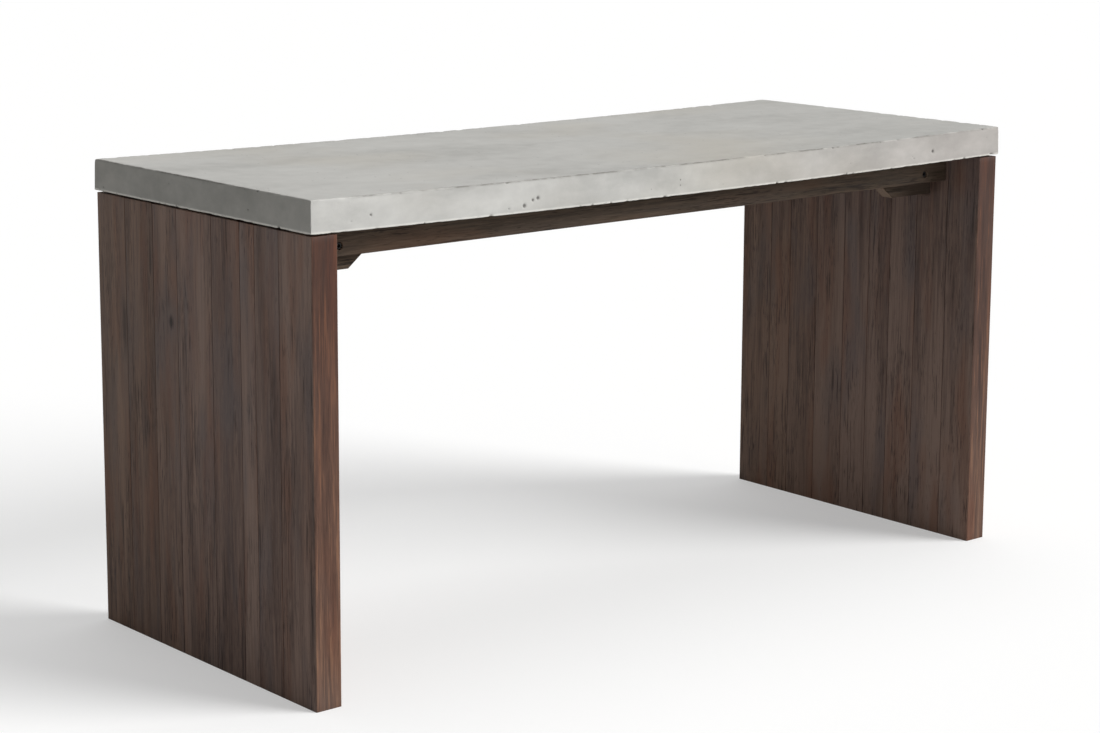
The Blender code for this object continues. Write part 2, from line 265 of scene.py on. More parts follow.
# waves in random directions added up: a value of about -1 to 1 that changes over one size
def ripple(points, size, seed, count=24):
    dice = np.random.default_rng(seed)
    heading = dice.normal(size=(points.shape[-1], count))
    heading *= dice.uniform(0.6, 1.5, count) / np.linalg.norm(heading, axis=0)
    phase = dice.uniform(0, 2 * np.pi, count)
    waves = np.sin((points / size) @ heading * 2 * np.pi + phase)
    return waves.mean(axis=-1) * math.sqrt(count / 2)


# a rectangle with rounded corners as a path: each corner's arc is its centre plus the radius along the
# normal, and straight runs join one arc's end to the next one's start; gives points and outward normals
def roundedPath(halfX, halfY, radii, step, arcSteps=6):
    corners = [(1, -1), (1, 1), (-1, 1), (-1, -1)]
    arcs, normals = [], []
    for k, ((signX, signY), radius) in enumerate(zip(corners, radii)):
        angle = np.linspace(0, np.pi / 2, arcSteps) + (k - 1) * np.pi / 2
        normal = np.stack([np.cos(angle), np.sin(angle)], axis=1)
        centre = np.array([signX * (halfX - radius), signY * (halfY - radius)])
        arcs.append(centre + radius * normal)
        normals.append(normal)
    points, outward = [], []
    for k in range(4):
        start, end = arcs[k][-1], arcs[(k + 1) % 4][0]
        count = max(2, int(np.linalg.norm(end - start) / step))
        share = np.linspace(0, 1, count, endpoint=False)[1:, None]
        points += [arcs[k], start + (end - start) * share]
        outward += [normals[k], np.repeat(normals[k][-1:], len(share), axis=0)]
    return np.concatenate(points), np.concatenate(outward)


# rings of points joined into a tube: quad (i, j) spans rings i and i + 1, points j and j + 1, and j wraps
def tubeQuads(rings, around):
    ring = np.arange(rings - 1)[:, None] * around
    point = np.arange(around)[None, :]
    beside = (point + 1) % around
    corners = [ring + point, ring + beside, ring + around + beside, ring + around + point]
    return np.stack(corners, axis=-1).reshape(-1, 4)


def addValues(mesh, key, values, domain="POINT"):
    layer = mesh.attributes.new(key, "FLOAT", domain)
    layer.data.foreach_set("value", np.ascontiguousarray(values, np.float32).ravel())


# merges points that coincide, then makes flat neighbours one face or turns all faces outwards
def mend(mesh, flatten=False):
    shape = bmesh.new()
    shape.from_mesh(mesh)
    bmesh.ops.remove_doubles(shape, verts=shape.verts, dist=1e-6)
    if flatten:
        bmesh.ops.dissolve_limit(shape, angle_limit=math.radians(1), verts=shape.verts, edges=shape.edges)
    else:
        bmesh.ops.recalc_face_normals(shape, faces=shape.faces)
    shape.to_mesh(mesh)
    shape.free()


# a mesh from rings (rings, around, 3) and point attributes (rings, around); flat ends get one face each,
# and other ends are rings drawn together, whose points merge
def tubeMesh(name, rings, flatEnds=False, **attributes):
    count, around = rings.shape[:2]
    quads = tubeQuads(count, around).tolist()
    if flatEnds:
        quads += [list(range(around)), list(range((count - 1) * around, count * around))]
    mesh = bpy.data.meshes.new(name)
    mesh.from_pydata(rings.reshape(-1, 3).tolist(), [], quads)
    for key, values in attributes.items():
        addValues(mesh, key, values)
    mend(mesh)
    return mesh


def nodePoints(node):
    mesh = frame["nodes"][node].data
    found = np.empty(len(mesh.vertices) * 3, np.float32)
    mesh.vertices.foreach_get("co", found)
    return found.reshape(-1, 3).astype(float)


# puts a finished mesh in the scene as the piece that stands for one node
def addPiece(name, mesh, material, node, smoothAngle=40):
    mesh.materials.clear()
    mesh.materials.append(material)
    mesh.shade_smooth()
    mesh.set_sharp_from_angle(angle=math.radians(smoothAngle))
    piece = bpy.data.objects.new(name, mesh)
    bpy.context.scene.collection.objects.link(piece)
    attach(piece, body)
    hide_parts(node)
    return piece


# a circle as an outline: (cos a, sin a) times the radius, from a centre
def roundOutline(centre, radius, around=32):
    angle = np.linspace(0, 2 * np.pi, around, endpoint=False)
    return np.array(centre) + radius * np.stack([np.cos(angle), np.sin(angle)], axis=1)


# an outline in the two other directions carried straight along one axis
def prism(outline, axis, near, far):
    outline = np.asarray(outline, float)
    around = len(outline)
    points = np.empty((2, around, 3))
    points[..., [k for k in range(3) if k != axis]] = outline
    points[0, :, axis], points[1, :, axis] = near, far
    return points


# cuts the prisms that reach into a piece out of its mesh
def cutAway(piece, prisms):
    corners = np.array(piece.bound_box)
    low, high = corners.min(axis=0), corners.max(axis=0)
    shape = bmesh.new()
    for points in prisms:
        if (points.max(axis=(0, 1)) < low).any() or (points.min(axis=(0, 1)) > high).any():
            continue
        rings = [[shape.verts.new(point) for point in ring] for ring in points]
        shape.faces.new(rings[0])
        shape.faces.new(rings[1][::-1])
        for k in range(len(rings[0])):
            shape.faces.new([rings[0][k - 1], rings[0][k], rings[1][k], rings[1][k - 1]])
    if not shape.faces:
        shape.free()
        return
    bmesh.ops.recalc_face_normals(shape, faces=shape.faces)
    mesh = bpy.data.meshes.new("cutter")
    shape.to_mesh(mesh)
    shape.free()
    cutter = bpy.data.objects.new("cutter", mesh)
    bpy.context.scene.collection.objects.link(cutter)
    boolean = piece.modifiers.new("cut", "BOOLEAN")
    boolean.operation, boolean.solver, boolean.object = "DIFFERENCE", "EXACT", cutter
    cut = bpy.data.meshes.new_from_object(piece.evaluated_get(bpy.context.evaluated_depsgraph_get()))
    piece.modifiers.clear()
    piece.data = cut
    bpy.data.objects.remove(cutter)
    bpy.data.meshes.remove(mesh)


# the cast top

castTop = {
    "step": 0.0022,             # metres between points along the rim
    "cornerRadius": 0.0020,     # upright corners
    "arris": 0.0026,            # top edge rounding
    "arrisChange": 0.21875,     # how much of the rounding comes and goes
    "arrisWave": 0.11,          # over this length
    "lowArris": 0.0016,         # bottom edge rounding
    "draft": 0.0014,            # each side leans in by this at the top
    "topGap": 0.00002,          # the highest point stays this far under the node's
    "sideRings": 25,
    "seeds": {"arris": 5, "levels": 11, "chips": 12, "airHoles": 13, "wear": 14, "swell": 15},
    "swell": 0.00035,           # hollows and swellings of the sides
    "swellWave": 0.16,
    "swellPeak": 1.8,           # waves seldom pass this
    "edgeWear": 0.00060,
    "edgeWearWave": 0.022,
    "topWearHeight": 0.006,     # how far from an edge the wear reaches
    "lowWearHeight": 0.004,
    "chips": 70,
    "chipsBelow": 0.55,         # share of the chips on the lower edge
    "chipInset": 0.001,
    "chipSize": (0.0018, 0.0048),
    "chipDepth": (0.0004, 0.0014),
    "airHoles": 30,
    "airHoleInset": (0.006, 0.007),
    "airHoleSize": (0.0012, 0.0024),
    "airHoleDepth": (0.0006, 0.0014),
    # the largest air holes of the front, along it and up from the floor
    "frontHoles": [(-0.646, 0.727), (-0.340, 0.7245), (-0.330, 0.7268), (-0.357, 0.717), (0.575, 0.727)],
    "frontHoleGrowth": (2.2, 1.2),      # how much wider and deeper than the others they are
    "hollowDepth": 0.0012,              # a hollow this deep gets the full painted shade
    "light": tint(189, 188, 184),
    "middle": tint(182, 181, 177),
    "dark": tint(171, 170, 166),
    "stops": ((0.36, "dark"), (0.50, "middle"), (0.63, "light")),
    "warm": tint(184, 178, 166),
    "endTone": tint(246, 245, 242),     # painted shade: the ends' colour is multiplied by this
    "farShade": tint(243, 238, 237),     # and the long sides' by this at their right end, as painted shade
    "farFrom": (0.0, 0.6),              # where that begins and is full
    "endReach": 0.2975,                 # how far from the middle an end face runs before its corner
    "paleLowEdge": tint(232, 230, 222),      # the paler colour of the lower edge
    "paleLowEdgeFront": 0.5,                 # how much of that the long sides show
    # the colour of the smudges and of the painted shadow line along the upper edge
    "stain": tint(104, 102, 96),
    "hole": tint(74, 72, 69),
    # noise: stretch on X, Y and Z, scale, detail, roughness, shift, warp
    "patterns": {
        "cloud": ((0.6, 1.3, 1), 5.0, 4, 0.55, (0, 0, 0), 0.4),
        "mottle": ((1, 1, 1), 34.0, 4, 0.6),
        "sand": ((1, 1, 1), 520.0, 3, 0.6),
        "warmth": ((0.8, 1, 1), 3.2, 3, 0.5, (3.1, 0.4, 1.7)),
        "smear": ((0.5, 1, 1.3), 19.0, 4, 0.6, (0.7, 2.0, 0.3), 0.2),
        "run": ((7, 7, 2), 1.0, 4, 0.65),
        "split": ((70, 70, 220), 1.0, 3, 0.6),
        "smudge": ((0.6, 1.5, 1.5), 11.0, 4, 0.65, (1.3, 0.2, 2.2)),
    },
    "mix": {"cloud": 0.58, "mottle": 0.33, "sand": 0.09},   # their shares in the tone
    # fades: where a value starts to count and where it is full, then the strength at either place
    "fades": {
        "warmth": (0.48, 0.72, 0, 0.45),
        "smear": (0.25, 0.75, -0.13, 0.13),
        "paleLowEdgeBand": (0.35, 0.75),
        "paleLowEdgeSplit": (0.30, 0.42),
        "edgeDarkBand": (0.6, 0.97, 0, 0.22),
        "edgeDarkRun": (0.40, 0.47),
        "shadowLineBand": (0.86, 0.98),
        "shadowLineRun": (0.45, 0.55),
        "shadowLineSplit": (0.36, 0.56, 0.2, 0.7),
        "smudge": (0.60, 0.72, 0, 0.28),
        "smudgeEdge": (0.02, 0.5),
        "pinhole": (0.10, 0.19, 1, 0),
        "hollow": (0.15, 1.0, 0, 0.85),
        "gloss": (0.35, 0.65, 0.76, 0.84),
    },
    "pinholeScale": 95.0,
    "pinholesAbove": 0.94,      # cells whose random value is above this have a pinhole
    "pinholeShade": 0.5,
    "specular": 0.28,
    "relief": {"sand": 0.5, "mottle": 0.12, "pinhole": -1.2},   # shares in the bump
    "bump": 0.35,
    "bumpDepth": 0.0006,
    "holeGap": 0.00035,         # clearance round an insert
    "holePast": 0.010,
}


def concreteMaterial(facts):
    material, tree, shader = newMaterial("castConcrete")

    def fade(name, value):
        return remap(tree, value, *facts["fades"][name])

    place = objectPlace(tree)
    hollow, edge, lowEdge, upright = (attribute(tree, k) for k in ("hollow", "edge", "lowEdge", "upright"))
    noises = {name: pattern(tree, place, *row) for name, row in facts["patterns"].items()}
    run, split = noises["run"], noises["split"]
    colour = ramp(tree, weighted(tree, noises, facts["mix"]), facts)
    colour = mixColour(tree, fade("warmth", noises["warmth"]), colour, facts["warm"])
    # the sides took more of the mould: soft smears, wider than they are tall
    smear = times(tree, fade("smear", noises["smear"]), upright)
    colour = brightened(tree, colour, maths(tree, "ADD", smear, 1.0))
    # painted shade: the long sides grow darker to the right, and the ends are darker all over
    lengthwise, depthwise = addNode(tree, "SeparateXYZ", {0: place}).outputs[:2]
    reach = maths(tree, "ABSOLUTE", depthwise)
    longSide = times(tree, upright, maths(tree, "GREATER_THAN", reach, facts["endReach"]))
    # painted shade towards the right end of the long sides
    far = times(tree, longSide, remap(tree, lengthwise, *facts["farFrom"]))
    colour = mixColour(tree, far, colour, facts["farShade"], "MULTIPLY")
    # painted shade on the end faces
    atEnd = maths(tree, "SUBTRACT", upright, longSide)
    colour = mixColour(tree, atEnd, colour, facts["endTone"], "MULTIPLY")
    # the ends' lower edge is made paler than the long sides'
    paleLowEdgeShare = remap(tree, reach, facts["endReach"] - 0.001, facts["endReach"], 1.0, facts["paleLowEdgeFront"])
    lowPale = times(tree, fade("paleLowEdgeBand", lowEdge), fade("paleLowEdgeSplit", split), paleLowEdgeShare)
    colour = mixColour(tree, lowPale, colour, facts["paleLowEdge"])
    # the upper edge is darkened in runs, a broken dark line along it is painted shadow, and smudges darken
    # it too
    edgeDark = times(tree, fade("edgeDarkBand", edge), fade("edgeDarkRun", run))
    colour = mixColour(tree, edgeDark, colour, facts["stain"])
    # painted shadow: a broken dark line along the upper arris
    shadowLine = times(tree, fade("shadowLineBand", edge), fade("shadowLineRun", run), fade("shadowLineSplit", split))
    smudge = times(tree, fade("smudge", noises["smudge"]), fade("smudgeEdge", edge))
    colour = mixColour(tree, maths(tree, "MAXIMUM", shadowLine, smudge), colour, facts["stain"])
    # painted shade: pinholes and the hollows of chips and air holes are darkened
    cells = addNode(tree, "TexVoronoi", {"Vector": place, "Scale": facts["pinholeScale"]}, feature="F1")
    chosen = addNode(tree, "SeparateColor", {"Color": cells.outputs["Color"]}).outputs[0]
    chosen = maths(tree, "GREATER_THAN", chosen, facts["pinholesAbove"])
    pinhole = times(tree, fade("pinhole", cells.outputs["Distance"]), chosen)
    holeShade = maths(tree, "MAXIMUM", times(tree, pinhole, facts["pinholeShade"]), fade("hollow", hollow))
    colour = mixColour(tree, holeShade, colour, facts["hole"])
    shader.inputs["Specular IOR Level"].default_value = facts["specular"]
    height = weighted(tree, {**noises, "pinhole": pinhole}, facts["relief"])
    dress(tree, shader, colour, fade("gloss", noises["mottle"]), height, facts)
    return material


# scoops of random size: each is (1 - d squared) squared, d being the distance from its middle in its sizes
def scoops(along, height, length, places, sizes, depths, seed):
    dice = np.random.default_rng(seed)
    depth = np.zeros_like(along)
    for level in places:
        gap = np.abs(along - dice.uniform(0, length))
        gap = np.minimum(gap, length - gap)
        wide = dice.uniform(*sizes) * dice.uniform(1, 1.9)
        tall = dice.uniform(*sizes)
        distance = (gap / wide) ** 2 + ((height - level) / tall) ** 2
        depth = np.maximum(depth, dice.uniform(*depths) * np.clip(1 - distance, 0, None) ** 2)
    return depth


# the profile at every place along the rim, in order: top face, rounded arris, leaning side, rounded lower
# arris; gives how far each row stands in from the rim, its height, and how far it faces out and up
def castProfile(facts, under, over, arris):
    quarter = np.linspace(0, np.pi / 2, 8)[1:, None]
    side = np.linspace(0, 1, facts["sideRings"] + 1)[1:, None]
    lowQuarter = np.linspace(0, np.pi / 2, 5)[1:, None]
    one = np.ones_like(arris)
    lowArris = facts["lowArris"]
    sideTop, sideLow = over - arris, under + lowArris
    sideHeight = sideTop + (sideLow - sideTop) * side
    inset = np.concatenate([
        (facts["draft"] + arris)[None],
        facts["draft"] + arris * (1 - np.sin(quarter)),
        facts["draft"] * (sideHeight - under) / (over - under),
        lowArris * (1 - np.cos(lowQuarter)) * one,
    ])
    height = np.concatenate([
        over * one[None],
        over - arris * (1 - np.cos(quarter)),
        sideHeight,
        under + lowArris * (1 - np.sin(lowQuarter)) * one,
    ])
    flat = np.zeros(facts["sideRings"])
    facing = np.concatenate([[0], np.sin(quarter[:, 0]), flat + 1, np.cos(lowQuarter[:, 0])])
    lifting = np.concatenate([[1], np.cos(quarter[:, 0]), flat, -np.sin(lowQuarter[:, 0])])
    return inset, height, facing[:, None], lifting[:, None]


# chips along both edges and air holes in the sides; the front's largest stand where the facts say
def castHollows(facts, place, height, outward, along, length, under, over):
    seeds, inset = facts["seeds"], facts["chipInset"]
    dice = np.random.default_rng(seeds["levels"])
    band = np.broadcast_to(along, height.shape)     # where each point is along the rim
    levels = np.where(dice.random(facts["chips"]) < facts["chipsBelow"], under + inset, over - inset)
    chips = scoops(band, height, length, levels, facts["chipSize"], facts["chipDepth"], seeds["chips"])
    lowInset, topInset = facts["airHoleInset"]
    levels = dice.uniform(under + lowInset, over - topInset, facts["airHoles"])
    sizes, depths = facts["airHoleSize"], facts["airHoleDepth"]
    holes = scoops(band, height, length, levels, sizes, depths, seeds["airHoles"])
    wider, deeper = facts["frontHoleGrowth"]
    for x, z in facts["frontHoles"]:
        size, deep = dice.uniform(*sizes) * wider, depths[1] * deeper
        distance = ((place[..., 0] - x) / size) ** 2 + ((height - z) / size) ** 2
        hole = deep * np.clip(1 - distance, 0, None) ** 2 * (outward[:, 1] < -0.9)
        holes = np.maximum(holes, hole)
    return chips + holes


# the top is the profile carried along the rim; both faces close on a spine, and the height of everything
# rises with x squared towards the ends
def buildCastTop(facts):
    seeds = facts["seeds"]
    points = nodePoints("concrete_top")
    halfX, halfY, top = points.max(axis=0)
    middle = points[np.abs(points[:, 0]) < 0.1 * halfX]
    under, over = middle[:, 2].min(), middle[:, 2].max()
    rim, outward = roundedPath(halfX, halfY, [facts["cornerRadius"]] * 4, facts["step"])
    steps = np.linalg.norm(np.diff(rim, axis=0, append=rim[:1]), axis=1)
    along = np.concatenate([[0], np.cumsum(steps)[:-1]])
    # corners take their arris from beside them, so that it doesn't change within one
    half = np.array([halfX, halfY])
    inner = half - 0.01
    change = ripple(np.clip(rim, -inner, inner), facts["arrisWave"], seeds["arris"])
    arris = facts["arris"] * (1 + facts["arrisChange"] * change)
    rise = (top - facts["topGap"] - over) / ((halfX - facts["draft"] - arris.min()) / halfX) ** 2
    inset, height, facing, lifting = castProfile(facts, under, over, arris)

    limit = half - inset[..., None]
    flat = np.clip(rim[None] - outward[None] * inset[..., None], -limit, limit)
    place = np.concatenate([flat, height[..., None]], axis=-1)
    hollows = castHollows(facts, place, height, outward, along, steps.sum(), under, over)
    nearTop = np.exp(-((height - over) / facts["topWearHeight"]) ** 2)
    nearLow = np.exp(-((height - under) / facts["lowWearHeight"]) ** 2)
    wear = np.clip(ripple(place, facts["edgeWearWave"], seeds["wear"]), 0, None)
    wear = facts["edgeWear"] * wear * np.maximum(nearTop, nearLow)
    swell = 1 + ripple(place, facts["swellWave"], seeds["swell"]) / facts["swellPeak"]
    depth = np.clip(facts["swell"] * swell * facing ** 2, 0, None) + wear + hollows
    place[..., :2] -= outward[None] * (depth * facing)[..., None]
    place[..., 2] -= depth * lifting

    spine = np.stack([np.clip(rim[:, 0], halfY - halfX, halfX - halfY), 0 * along], axis=1)

    def toSpine(ring, shares):
        closer = ring[None, :, :2] + (spine[None] - ring[None, :, :2]) * shares[:, None, None]
        return np.concatenate([closer, np.full((*closer.shape[:2], 1), ring[:, 2].mean())], axis=-1)

    shares = np.array([1, 0.72, 0.5, 0.32, 0.19, 0.1, 0.045, 0.016])
    rings = np.concatenate([toSpine(place[0], shares), place, toSpine(place[-1], shares[::-1][1::2])])
    rings[..., 2] += rise * (rings[..., 0] / halfX) ** 2

    def onSides(values):
        whole = np.zeros(rings.shape[:2])
        whole[len(shares):len(shares) + len(place)] = values
        return whole

    edge = onSides(nearTop)
    edge[len(shares) - 1] = 0.3     # the darkening along the edge fades over the face's first ring
    hollow = np.clip(hollows / facts["hollowDepth"], 0, 1)
    mesh = tubeMesh("castTop", rings, hollow=onSides(hollow), edge=edge, lowEdge=onSides(nearLow),
                    upright=onSides(facing))
    return addPiece("castTop", mesh, concreteMaterial(facts), "concrete_top", 60)


# the threaded inserts cast into the underside sit in round holes
def insertHoles(facts):
    found = []
    for name in frame["nodes"]:
        if name.startswith("top_insert"):
            low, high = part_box(name)
            centre, radius = ((low.x + high.x) / 2, (low.y + high.y) / 2), (high.x - low.x) / 2
            gap, past = facts["holeGap"], facts["holePast"]
            found.append(prism(roundOutline(centre, radius + gap), 2, low.z - past, high.z + gap))
    return found


cutAway(buildCastTop(castTop), insertHoles(castTop))
print("cast top made")


# wood

legWood = {
    "dark": tint(82, 64, 58),
    "middle": tint(119, 98, 88),
    "light": tint(148, 125, 113),
    "red": tint(131, 91, 71),
    "grey": tint(114, 103, 101),
    "pore": tint(38, 28, 25),
    "stops": ((0.36, "dark"), (0.50, "middle"), (0.64, "light")),
    # the leg's narrow faces drank more stain, and are made lighter towards the foot as painted light from
    # the floor: their colour is multiplied by these at the foot and head
    "edgeStainFootLight": tint(204, 184, 168),
    "edgeHead": tint(155, 114, 90),
    "edgeStreak": tint(176, 146, 122),
    "rearTone": tint(247, 241, 231),    # the rear staves' colour is multiplied by this
    "foot": 0.14,                       # painted light from the floor: how much lighter everything grows towards the foot
    "endGrain": 1.6,                    # and on end grain, the blocks' chamfers among it, as painted light
    # dark marks: middle, radius and how much longer than wide
    "marks": [((-0.750, 0.082, 0.529), 0.0085, 1.6), ((-0.750, 0.220, 0.50), 0.010, 6.0)],
    "markRagged": 0.3,                  # how far the streaks move a mark's edge
    "drift": (0.35, 7.0, 0.012),        # the grain's wandering: stretch along it, scale, distance
    # noise: stretch along the grain, scale, detail, roughness, shift
    "patterns": {
        "bands": (0.05, 42.0, 2, 0.5),
        "streaks": (0.035, 220.0, 3, 0.6),
        "fibres": (0.02, 1300.0, 2, 0.5),
        "pores": (0.045, 850.0, 2, 0.5),
        "checks": (0.035, 330.0, 1, 0.5),
        "crowd": (0.2, 30.0, 1, 0.5, (2.0, 7.0, 4.0)),
        "patches": (0.22, 18.0, 2, 0.5),
        "blush": (0.15, 24.0, 2, 0.5, (5.0, 2.0, 1.0)),
        "opening": (0.35, 26.0, 2, 0.5),
    },
    "mix": {"bands": 0.45, "streaks": 0.43, "fibres": 0.12},    # their shares in the tone
    # fades, given as for the cast top
    "fades": {
        "blush": (0.50, 0.68, 0, 0.5),
        "patches": (0.52, 0.68, 0, 0.6),
        "edgeStreaks": (0.54, 0.66, 0, 0.5),
        "poreCrowd": (0.35, 0.65, -0.07, 0.05),
        "paleGrain": (0.38, 0.30, 0, 0.35),
        "pores": (0.60, 0.68),
        "checks": (0.60, 0.66),
        "checkCrowd": (0.46, 0.58),
        "edgePores": (0, 1, 0.66, 0.3),
        "opening": (0.40, 0.62, 0.05, 0.56),
        "gloss": (0.35, 0.65, 0.46, 0.70),
    },
    "bump": 0.35,
    "bumpDepth": 0.0006,
    "relief": {"streaks": 0.6, "fibres": 0.4, "pores": -0.8},   # shares in the bump
    "specular": 0.33,
}
frameWood = {
    **legWood,
    "dark": tint(67, 56, 46),
    "middle": tint(91, 77, 65),
    "light": tint(114, 99, 86),
    "red": tint(101, 76, 60),
    "grey": tint(87, 76, 67),
    "pore": tint(24, 17, 14),
    "foot": 0.0,
    "marks": [],
    "mix": {"bands": 0.28, "streaks": 0.50, "fibres": 0.22},
    "specular": 0.12,
}
dowelWood = {
    **frameWood,
    "dark": tint(150, 116, 80),
    "middle": tint(178, 142, 102),
    "light": tint(198, 164, 122),
    "red": tint(176, 128, 88),
    "grey": tint(164, 146, 118),
    "pore": tint(96, 66, 40),
    "bump": 0.2,
}


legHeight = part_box("left_leg_stave_1")[1].z


# streaks run along the grain axis, where every pattern is stretched; each piece has its own shift and tone
def woodMaterial(name, facts, grain):
    material, tree, shader = newMaterial(name)

    def along(share):
        return tuple(share if axis == grain else 1 for axis in "XYZ")

    def fade(key, value):
        return remap(tree, value, *facts["fades"][key])

    place = objectPlace(tree)
    own = attribute(tree, "grainShift")
    shift = addNode(tree, "CombineXYZ", {"X": own, "Y": own, "Z": own}).outputs[0]
    grained = vectorMaths(tree, "ADD", place, shift)
    share, scale, distance = facts["drift"]
    drift = addNode(tree, "TexNoise", {"Vector": stretched(tree, grained, along(share)), "Scale": scale})
    drift = vectorMaths(tree, "SUBTRACT", drift.outputs["Color"], (0.5, 0.5, 0.5))
    grained = vectorMaths(tree, "ADD", grained, vectorMaths(tree, "MULTIPLY", drift, (distance,) * 3))
    noises = {key: pattern(tree, grained, along(row[0]), *row[1:]) for key, row in facts["patterns"].items()}
    streaks, crowd = noises["streaks"], noises["crowd"]
    edgeFace = attribute(tree, "edgeFace")

    tone = maths(tree, "ADD", weighted(tree, noises, facts["mix"]), attribute(tree, "tone"))
    colour = ramp(tree, tone, facts)
    colour = mixColour(tree, fade("blush", noises["blush"]), colour, facts["red"])
    colour = mixColour(tree, fade("patches", noises["patches"]), colour, facts["grey"])
    streak = times(tree, fade("edgeStreaks", streaks), edgeFace)
    colour = mixColour(tree, streak, colour, facts["edgeStreak"])
    # pores and short checks stand in crowds, and the grain between them is pale
    pores = maths(tree, "ADD", noises["pores"], fade("poreCrowd", crowd))
    colour = mixColour(tree, fade("paleGrain", pores), colour, facts["light"])
    cluster = times(tree, fade("checks", noises["checks"]), fade("checkCrowd", crowd))
    pores = times(tree, maths(tree, "MAXIMUM", fade("pores", pores), cluster), fade("edgePores", edgeFace))
    # a joint shows dark in places and hardly at all in others
    opening = times(tree, attribute(tree, "joint"), fade("opening", noises["opening"]))
    colour = mixColour(tree, maths(tree, "MAXIMUM", pores, opening), colour, facts["pore"])
    for middle, size, length in facts["marks"]:
        gap = stretched(tree, vectorMaths(tree, "SUBTRACT", place, middle), along(1 / length))
        gap = addNode(tree, "VectorMath", {0: gap}, operation="LENGTH").outputs["Value"]
        ragged = facts["markRagged"] * size
        gap = maths(tree, "ADD", gap, remap(tree, streaks, 0.3, 0.7, -ragged, ragged))
        colour = mixColour(tree, remap(tree, gap, size, size * 3, 0.5, 0), colour, facts["grey"])
        core = remap(tree, gap, size * 0.3, size, 1 / length ** 0.3, 0)
        colour = mixColour(tree, core, colour, facts["pore"])

    # the narrow faces' stain is multiplied in, paler towards the foot as painted light from the floor
    level = remap(tree, addNode(tree, "SeparateXYZ", {0: place}).outputs[2], 0, legHeight)
    edge = mixColour(tree, level, facts["edgeStainFootLight"], facts["edgeHead"])
    colour = mixColour(tree, edgeFace, colour, edge, "MULTIPLY")
    # painted light: everything grows lighter towards the foot and on end grain
    paintedLight = maths(tree, "ADD", remap(tree, level, 0, 1, 1 + facts["foot"], 1),
                   times(tree, attribute(tree, "endGrain"), facts["endGrain"]))
    colour = brightened(tree, colour, paintedLight)
    colour = mixColour(tree, attribute(tree, "rear"), colour, facts["rearTone"], "MULTIPLY")
    shader.inputs["Specular IOR Level"].default_value = facts["specular"]
    height = weighted(tree, {**noises, "pores": pores}, facts["relief"])
    dress(tree, shader, colour, fade("gloss", streaks), height, facts)
    return material


# the legs' staves

staves = {
    "left": 8,
    "right": 9,
    "step": 0.0024,             # metres between points round a stave
    "ringStep": 0.009,          # and between rings up its height
    "jointRadius": 0.0007,      # rounding along a glue joint
    "edgeRadius": 0.0022,       # rounding of the leg's own four corners
    "endRounding": 0.0005,
    "brushing": 0.00022,        # depth of the hollows that the wire brush leaves
    "brushWave": 0.011,         # their width
    "brushAlong": 0.05,         # and how much slower they change along the grain
    "brushPeak": 1.2,           # waves are cut off past this
    "shiftRange": 40,           # each stave's grain is taken from somewhere this far along
    "toneSpread": {"left": 0.06, "right": 0.04},    # how much the staves of a leg differ
    "staveFootLight": {"left": 0.0, "right": 0.15},       # painted light: how much lighter the foot
    "staveHeadLight": {"left": 0.08, "right": -0.02},     # and the head of each leg is, on its sides facing along x; below zero is painted shade
    "rearFrom": 0.20,           # staves from here back have the full rear tone, and the middle has none
    "cutGap": 0.00035,          # clearance round a tenon or a screw
    "screwRadius": 0.00225,
    "cutPast": 0.010,
}


# a stave is a rounded rectangle carried straight up: each point sinks inward by the brushed hollows, which
# are long in z and narrow round the stave
def buildStave(side, number, facts, material, dice):
    node = f"{side}_leg_stave_{number}"
    low, high = (np.array(corner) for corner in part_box(node))
    centre, half = (low + high) / 2, (high - low) / 2
    front = facts["edgeRadius" if number == 1 else "jointRadius"]
    rear = facts["edgeRadius" if number == facts[side] else "jointRadius"]
    radii = [front, rear, rear, front]
    section, outward = roundedPath(half[0], half[1], radii, facts["step"])
    ease = facts["endRounding"]
    curve = np.linspace(0, np.pi / 2, 4)
    count = int((high[2] - low[2]) / facts["ringStep"])
    levels = np.concatenate([
        low[2] + ease * (1 - np.cos(curve)),
        np.linspace(low[2] + ease, high[2] - ease, count)[1:-1],
        high[2] - ease * (1 - np.cos(curve[::-1])),
    ])
    rounding = ease * (1 - np.sin(curve))
    inset = np.concatenate([rounding, np.zeros(count - 2), rounding[::-1]])
    rings = np.empty((len(levels), len(section), 3))
    rings[..., :2] = centre[:2] + section[None] - outward[None] * inset[:, None, None]
    rings[..., 2] = levels[:, None]
    # the rounding beside a glue joint shows it, but the leg's own corners have none
    turning = 2 * np.abs(outward[:, 0] * outward[:, 1])
    isOuter = np.where(outward[:, 1] < 0, number == 1, number == facts[side])
    joint = np.where(isOuter, 0, turning ** 0.5)
    shift = dice.uniform(0, facts["shiftRange"])
    peak = facts["brushPeak"]
    hollows = ripple(rings * (1, 1, facts["brushAlong"]) + shift, facts["brushWave"], int(shift * 1000))
    depth = np.clip(hollows + peak, 0, 2 * peak) / (2 * peak) * facts["brushing"]
    rings[..., :2] -= outward[None] * depth[..., None]
    level = (rings[..., 2] - low[2]) / (high[2] - low[2])
    # painted light and shade towards the foot and head on the sides facing along x, with each stave's random
    # tone added
    tone = facts["staveFootLight"][side] * (1 - level) + facts["staveHeadLight"][side] * level ** 2
    tone = tone * np.abs(outward[:, 0]) + dice.uniform(-1, 1) * facts["toneSpread"][side]
    mesh = tubeMesh(f"{side}Stave{number}", rings, flatEnds=True,
                    joint=np.broadcast_to(joint, rings.shape[:2]),
                    edgeFace=np.broadcast_to(np.abs(outward[:, 1]) ** 2, rings.shape[:2]),
                    grainShift=np.full(rings.shape[:2], shift),
                    rear=np.full(rings.shape[:2], np.clip(centre[1] / facts["rearFrom"], 0, 1)),
                    tone=tone)
    return addPiece(f"{side}Stave{number}", mesh, material, node)


